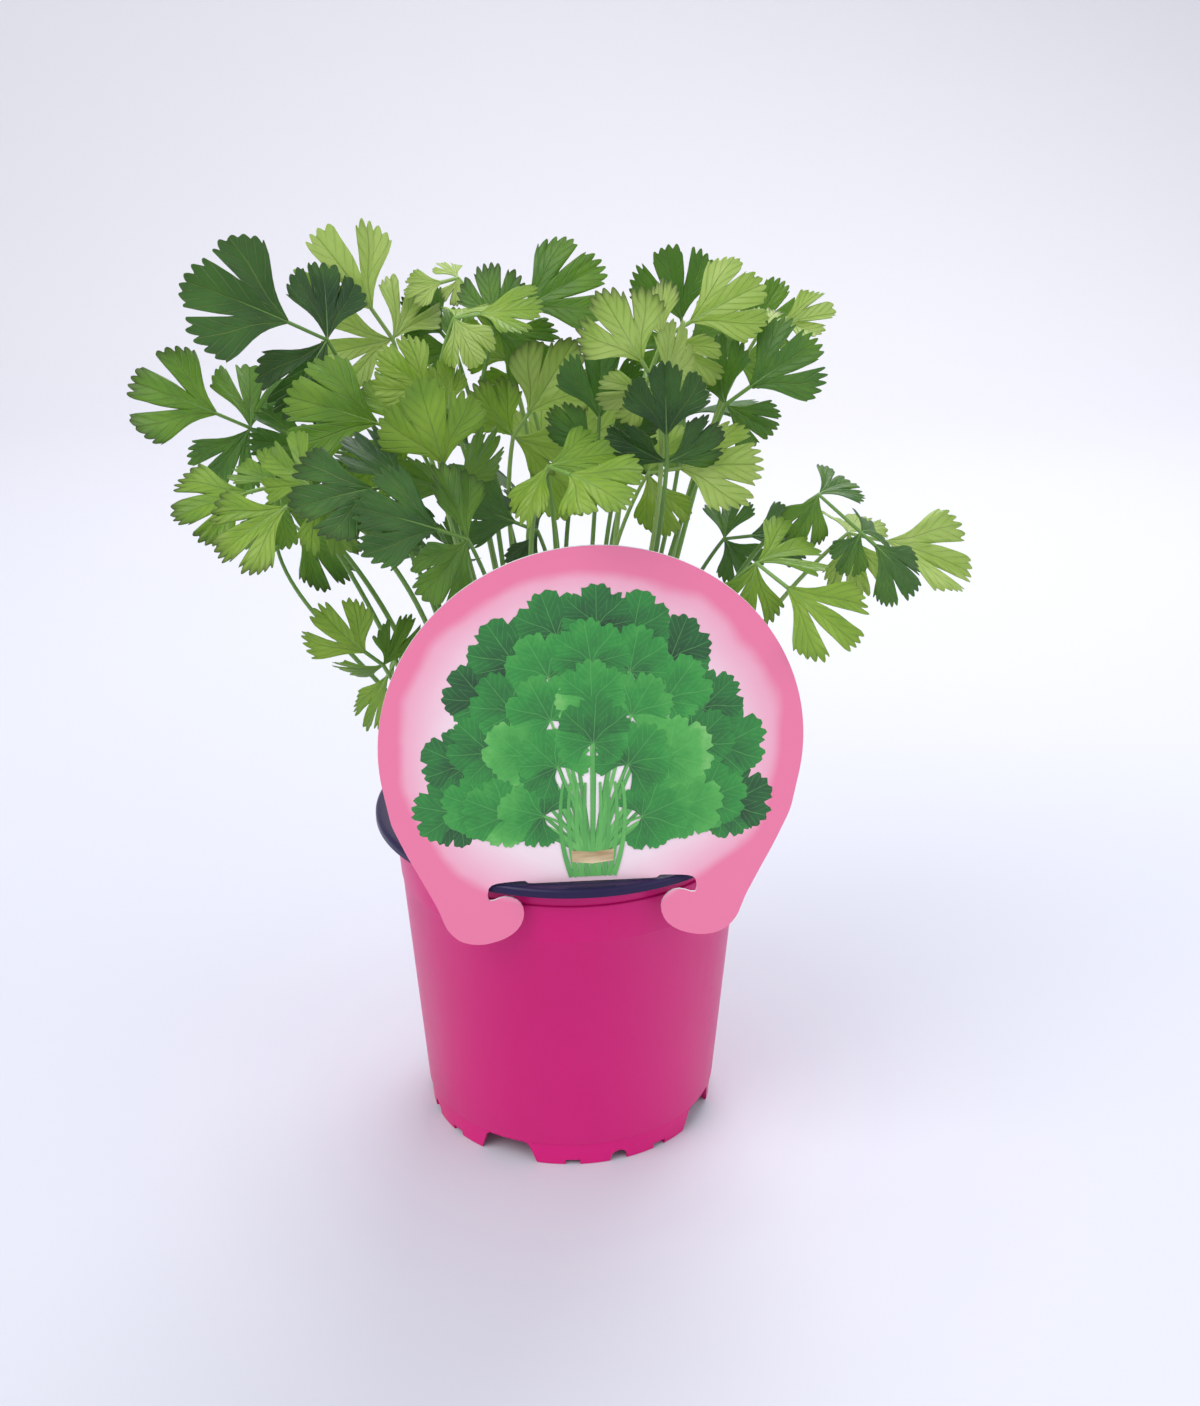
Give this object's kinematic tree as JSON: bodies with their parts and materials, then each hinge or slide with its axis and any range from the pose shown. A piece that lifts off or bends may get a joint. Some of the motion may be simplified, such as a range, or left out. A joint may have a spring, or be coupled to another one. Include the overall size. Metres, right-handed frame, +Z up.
{
  "type": "potted coriander plant",
  "caption": "Coriander plant with long bare stalks and cut, toothed leaves in a round tapered plastic pot with a rolled lip; a round plastic tag hangs on the lip.",
  "frame": {"origin": "on the pot's axis at the foot ring's flat underside", "axes": "+Z up along the pot's axis, -Y towards the tag at the front, +X to the right as seen from the front"},
  "size_m": [0.2668, 0.16, 0.3044],
  "materials": {
    "pot": "satin, magenta outside and dark blue inside and on the lip",
    "soil": "dark crumbly potting soil",
    "tag": "printed, semi-gloss",
    "leaf": "soft living green, slightly glossy"
  },
  "bodies": {
    "root": {"leafy_stem_01": "leaf", "leafy_stem_02": "leaf", "leafy_stem_03": "leaf", "leafy_stem_04": "leaf", "leafy_stem_05": "leaf", "leafy_stem_06": "leaf", "leafy_stem_07": "leaf", "leafy_stem_08": "leaf", "leafy_stem_09": "leaf", "leafy_stem_10": "leaf", "leafy_stem_11": "leaf", "leafy_stem_12": "leaf", "leafy_stem_13": "leaf", "leafy_stem_14": "leaf", "leafy_stem_15": "leaf", "leafy_stem_16": "leaf", "leafy_stem_17": "leaf", "leafy_stem_18": "leaf", "leafy_stem_19": "leaf", "leafy_stem_20": "leaf", "leafy_stem_21": "leaf", "leafy_stem_22": "leaf", "leafy_stem_23": "leaf", "leafy_stem_24": "leaf", "leafy_stem_25": "leaf", "leafy_stem_26": "leaf", "leafy_stem_27": "leaf", "leafy_stem_28": "leaf", "leafy_stem_29": "leaf", "leafy_stem_30": "leaf", "leafy_stem_31": "leaf", "leafy_stem_32": "leaf", "leafy_stem_33": "leaf", "leafy_stem_34": "leaf", "leafy_stem_35": "leaf", "leafy_stem_36": "leaf", "leafy_stem_37": "leaf", "leafy_stem_38": "leaf", "leafy_stem_39": "leaf", "leafy_stem_40": "leaf", "leafy_stem_41": "leaf", "leafy_stem_42": "leaf", "pot": "pot", "soil": "soil", "tag": "tag"}
  },
  "joints": []
}
